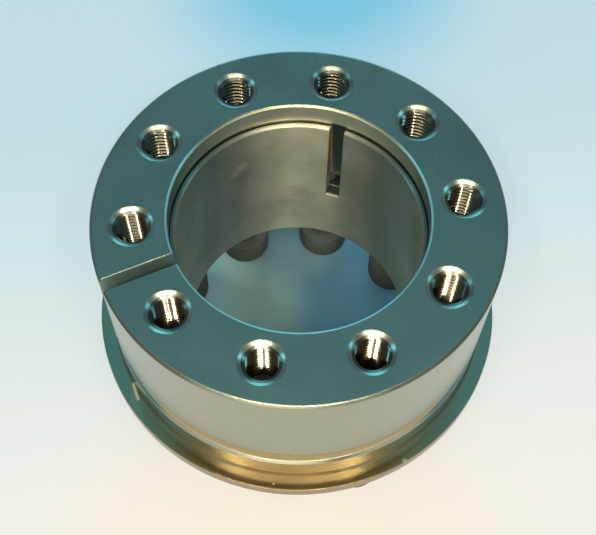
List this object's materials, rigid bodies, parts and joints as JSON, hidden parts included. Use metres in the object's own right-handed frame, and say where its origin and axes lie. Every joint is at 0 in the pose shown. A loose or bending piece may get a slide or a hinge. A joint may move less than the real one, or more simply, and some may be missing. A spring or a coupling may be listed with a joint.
{
  "type": "keyless locking assembly",
  "caption": "Slit tapered rings with a flange, a lipped spacer ring and a circle of socket head screws, to clamp a hub on a plain shaft.",
  "frame": {"origin": "on the axis, at the surface that the screw heads stand on", "axes": "+Z along the axis, towards the tapped rear face of the outer ring; the outer ring's slit is 24 degrees past -X, towards -Y"},
  "size_m": [0.119, 0.119, 0.086],
  "materials": {
    "outer_ring_steel": "fine turned and ground, lightly oiled",
    "inner_ring_steel": "fine bored, lightly oiled",
    "spacer_ring_steel": "fine turned, lightly oiled",
    "black_screw_steel": "black oxide"
  },
  "bodies": {
    "outer_ring": {"outer_ring": "outer_ring_steel"},
    "inner_ring": {"inner_ring": "inner_ring_steel", "spacer_ring": "spacer_ring_steel"},
    "locking_screw_01": {"locking_screw_01": "black_screw_steel"},
    "locking_screw_02": {"locking_screw_02": "black_screw_steel"},
    "locking_screw_03": {"locking_screw_03": "black_screw_steel"},
    "locking_screw_04": {"locking_screw_04": "black_screw_steel"},
    "locking_screw_05": {"locking_screw_05": "black_screw_steel"},
    "locking_screw_06": {"locking_screw_06": "black_screw_steel"},
    "locking_screw_07": {"locking_screw_07": "black_screw_steel"},
    "locking_screw_08": {"locking_screw_08": "black_screw_steel"},
    "locking_screw_09": {"locking_screw_09": "black_screw_steel"},
    "locking_screw_10": {"locking_screw_10": "black_screw_steel"}
  },
  "joints": [
    {"name": "inner_ring_taper_slide", "type": "slide", "parent": "outer_ring", "child": "inner_ring", "axis": [0, 0, 1], "range_m": [-0.0078, 0.0012]},
    {"name": "locking_screw_01_travel", "type": "slide", "parent": "outer_ring", "child": "locking_screw_01", "axis": [0, 0, 1], "range_m": [0, 0.012]},
    {"name": "locking_screw_02_travel", "type": "slide", "parent": "outer_ring", "child": "locking_screw_02", "axis": [0, 0, 1], "range_m": [0, 0.012]},
    {"name": "locking_screw_03_travel", "type": "slide", "parent": "outer_ring", "child": "locking_screw_03", "axis": [0, 0, 1], "range_m": [0, 0.012]},
    {"name": "locking_screw_04_travel", "type": "slide", "parent": "outer_ring", "child": "locking_screw_04", "axis": [0, 0, 1], "range_m": [0, 0.012]},
    {"name": "locking_screw_05_travel", "type": "slide", "parent": "outer_ring", "child": "locking_screw_05", "axis": [0, 0, 1], "range_m": [0, 0.012]},
    {"name": "locking_screw_06_travel", "type": "slide", "parent": "outer_ring", "child": "locking_screw_06", "axis": [0, 0, 1], "range_m": [0, 0.012]},
    {"name": "locking_screw_07_travel", "type": "slide", "parent": "outer_ring", "child": "locking_screw_07", "axis": [0, 0, 1], "range_m": [0, 0.012]},
    {"name": "locking_screw_08_travel", "type": "slide", "parent": "outer_ring", "child": "locking_screw_08", "axis": [0, 0, 1], "range_m": [-0.0045, 0.0075]},
    {"name": "locking_screw_09_travel", "type": "slide", "parent": "outer_ring", "child": "locking_screw_09", "axis": [0, 0, 1], "range_m": [0, 0.012]},
    {"name": "locking_screw_10_travel", "type": "slide", "parent": "outer_ring", "child": "locking_screw_10", "axis": [0, 0, 1], "range_m": [0, 0.012]}
  ]
}
